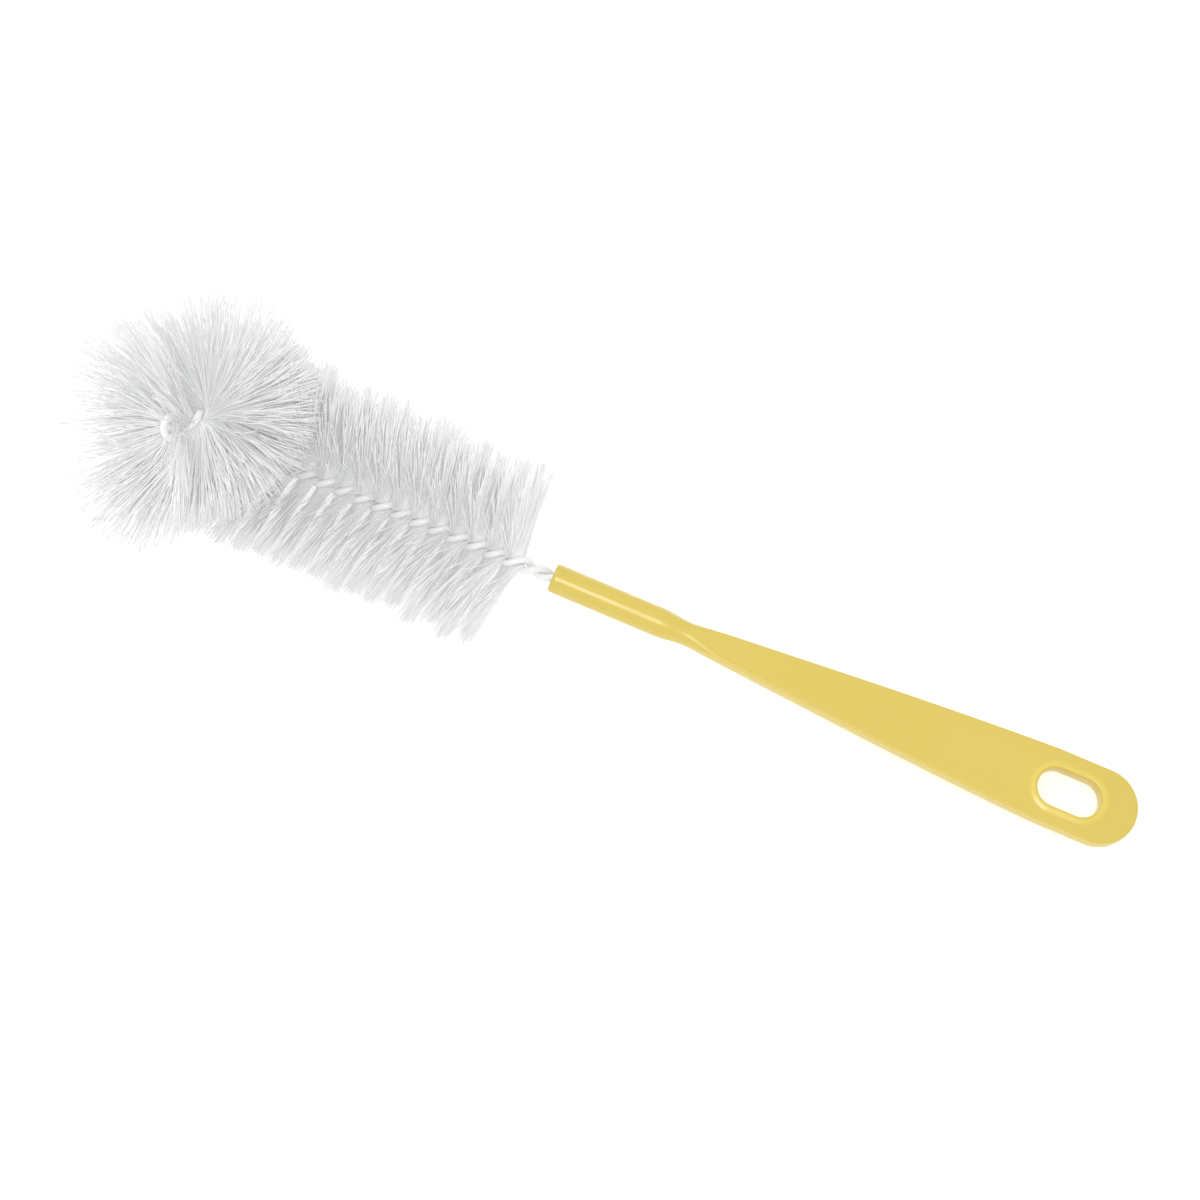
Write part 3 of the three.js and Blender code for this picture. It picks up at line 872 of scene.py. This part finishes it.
def set_camera():
    """The camera stands off its aim by azimuth, from -Y, and elevation."""
    lens = bpy.data.cameras.new("camera")
    lens.lens = CAMERA_LENS
    lens.sensor_width = 36
    lens.clip_end = 20
    camera = bpy.data.objects.new("camera", lens)
    a, e = CAMERA_AZIMUTH, CAMERA_ELEVATION
    back = Vector((math.sin(a) * math.cos(e), -math.cos(a) * math.cos(e), math.sin(e)))
    camera.location = CAMERA_AIM + back * CAMERA_DISTANCE
    camera.rotation_mode = "QUATERNION"
    camera.rotation_quaternion = (-back).to_track_quat("-Z", "Y")
    bpy.context.scene.collection.objects.link(camera)
    bpy.context.scene.camera = camera


def set_floor():
    half = FLOOR_HALF_WIDTH
    corners = np.array([[-half, -half, 0], [half, -half, 0], [half, half, 0], [-half, half, 0]])
    floor = make_piece("floor", corners, np.array([[0, 1, 2, 3]]), np.zeros((0, 3), dtype=int), {})
    floor.data.materials.append(pale_floor())


def set_world():
    world = bpy.data.worlds.new("studio")
    world.use_nodes = True
    background = world.node_tree.nodes["Background"]
    background.inputs["Color"].default_value = (1, 1, 1, 1)
    background.inputs["Strength"].default_value = SKY_STRENGTH
    bpy.context.scene.world = world


def finish_piece(piece, material, node):
    piece.data.materials.append(material)
    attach(piece, "root")
    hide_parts(node)


set_camera()
set_world()
set_floor()
studio_light("softbox", place=(0.15, -0.45, 1.5), size=0.7, power=9.0)
studio_light("fill", place=(-0.9, 0.7, 1.1), size=1.0, power=5.0)
bpy.context.scene.view_settings.view_transform = "Standard"

skin_grain = grain_group()
bristle_material = nylon_bristle(skin_grain)
finish_piece(handle(), handle_plastic(skin_grain), "handle")
finish_piece(twisted_wire(), coated_wire(skin_grain), "twisted_wire")
for k in range(MAIN_BUNDLES):
    bundle = bristle_bundle(f"nylon_bundle_{k + 1}", k * HALF_TURN, HALF_TURN, 100 + k)
    finish_piece(bundle, bristle_material, f"bristle_bundle_{k + 1}")
for k in range(HEAD_BUNDLES):
    start = -(k + 1) * HALF_TURN if k + 1 < HEAD_BUNDLES else -BEND_LENGTH - FOLD_FILL
    span = -k * HALF_TURN - start
    bundle = bristle_bundle(f"nylon_tip_bundle_{k + 1}", start, span, 200 + k)
    finish_piece(bundle, bristle_material, f"tip_bundle_{k + 1}")
